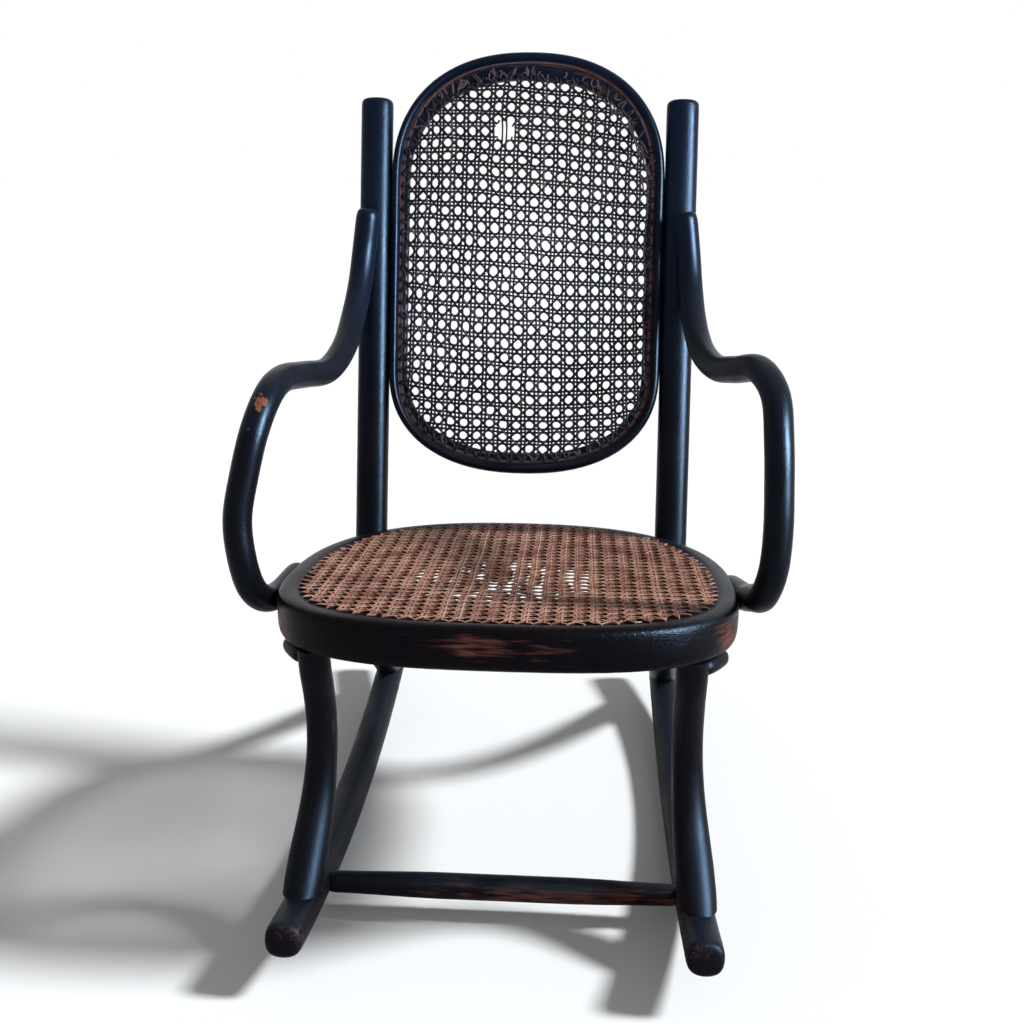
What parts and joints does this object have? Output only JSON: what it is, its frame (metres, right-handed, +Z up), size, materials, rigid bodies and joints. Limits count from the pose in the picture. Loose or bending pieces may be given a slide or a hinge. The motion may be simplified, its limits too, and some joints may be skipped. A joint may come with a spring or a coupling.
{
  "type": "rocking chair",
  "caption": "Low bentwood rocking chair with curved runners, looped arms, a cane seat in a bent ring and an oval cane back between upright posts.",
  "frame": {"origin": "on the floor, in the middle of the box that the chair fills", "axes": "+X to the right as seen from the front, +Y from the front of the chair to its back, +Z up"},
  "size_m": [0.4929, 0.6738, 0.7952],
  "materials": {
    "black_wood": "black stained and polished, satin",
    "worn_wood": "black stained, worn to brown in places, satin",
    "seat_cane": "matt, dusty reddish tan",
    "back_cane": "matt, very dark brown",
    "steel": "dull, darkened"
  },
  "bodies": {
    "root": {"arm_left": "black_wood", "arm_right": "black_wood", "arm_seat_screw_left": "steel", "arm_seat_screw_right": "steel", "arm_top_screw_left": "steel", "arm_top_screw_right": "steel", "back_cane": "back_cane", "back_hoop": "black_wood", "back_post_left": "black_wood", "back_post_right": "black_wood", "block_screw_left_1": "steel", "block_screw_left_2": "steel", "block_screw_right_1": "steel", "block_screw_right_2": "steel", "foot_screw_left_front": "steel", "foot_screw_left_rear": "steel", "foot_screw_right_front": "steel", "foot_screw_right_rear": "steel", "front_leg_left": "worn_wood", "front_leg_right": "worn_wood", "hoop_screw_left_lower": "steel", "hoop_screw_left_upper": "steel", "hoop_screw_right_lower": "steel", "hoop_screw_right_upper": "steel", "leg_block_left": "worn_wood", "leg_block_right": "worn_wood", "post_bolt_left": "steel", "post_bolt_right": "steel", "post_nut_left": "steel", "post_nut_right": "steel", "post_washer_left": "steel", "post_washer_right": "steel", "runner_left": "worn_wood", "runner_right": "worn_wood", "seat_cane": "seat_cane", "seat_hoop": "black_wood", "stretcher": "worn_wood"}
  },
  "joints": []
}
